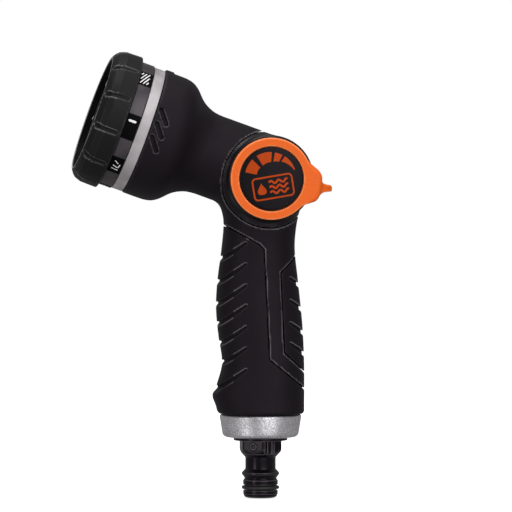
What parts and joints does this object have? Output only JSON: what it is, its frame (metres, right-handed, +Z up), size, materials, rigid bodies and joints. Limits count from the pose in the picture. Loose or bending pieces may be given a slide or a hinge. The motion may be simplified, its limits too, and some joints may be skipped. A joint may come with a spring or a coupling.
{
  "type": "hose spray nozzle",
  "caption": "Pistol-shaped garden hose spray nozzle with a turning pattern dial, a thumb lever on the valve hub, soft grips and a click hose connector.",
  "frame": {"origin": "centre of the end face of the hose connector, on the handle axis", "axes": "+Z up the handle, -X the spray side, +Y the right-hand side of someone who holds it"},
  "size_m": [0.1166, 0.0622, 0.2015],
  "materials": {
    "soft_black": "soft-touch matt moulding with a fine grain",
    "hard_black": "smooth satin moulded plastic",
    "gloss_black": "glossy moulded plastic",
    "orange": "satin moulded plastic",
    "bezel_silver": "brushed round the ring",
    "cast_silver": "speckled cast metal paint",
    "gunmetal": "satin metallic grey with black and white pattern signs",
    "steel": "bright stainless wire and screws",
    "seal_rubber": "smooth seal rubber",
    "white_plastic": "plain moulded plastic"
  },
  "bodies": {
    "body": {"main_body": "hard_black", "soft_cover": "soft_black", "front_grip": "soft_black", "rear_grip": "soft_black", "inlet_collar": "cast_silver", "hose_connector": "gloss_black", "connector_o_ring": "seal_rubber", "inlet_washer": "seal_rubber", "filter_screen": "white_plastic", "gland_left": "hard_black", "gland_right": "hard_black", "bezel_ring": "bezel_silver", "port_plate": "hard_black", "port_seal": "seal_rubber", "seal_spring": "steel", "detent_spring": "steel", "dial_washer": "steel", "dial_screw": "steel"},
    "pattern_dial": {"dial_barrel": "hard_black", "pattern_band": "gunmetal", "grip_ring": "soft_black", "spray_face": "gloss_black"},
    "lever": {"thumb_lever": "orange", "valve_plug": "hard_black", "plug_o_ring_left": "seal_rubber", "plug_o_ring_right": "seal_rubber", "lever_screw_left": "steel", "lever_screw_right": "steel", "cap_left": "gloss_black", "cap_right": "gloss_black"},
    "detent": {"detent_ball": "steel"}
  },
  "joints": [
    {"name": "dial_turn", "type": "hinge", "parent": "body", "child": "pattern_dial", "pos_m": [0.00286, 0, 0.1454], "axis": [-0.9397, 0, 0.342], "continuous": true},
    {"name": "lever_turn", "type": "hinge", "parent": "body", "child": "lever", "pos_m": [0.0026, 0, 0.1447], "axis": [0, -1, 0], "range_deg": [0, 65]},
    {"name": "detent_slide", "type": "slide", "parent": "body", "child": "detent", "axis": [-0.9397, 0, 0.342], "range_m": [0, 0.0008], "stiffness_N_per_m": 100, "springref_m": 0.002, "deforming": ["detent_spring"]}
  ]
}
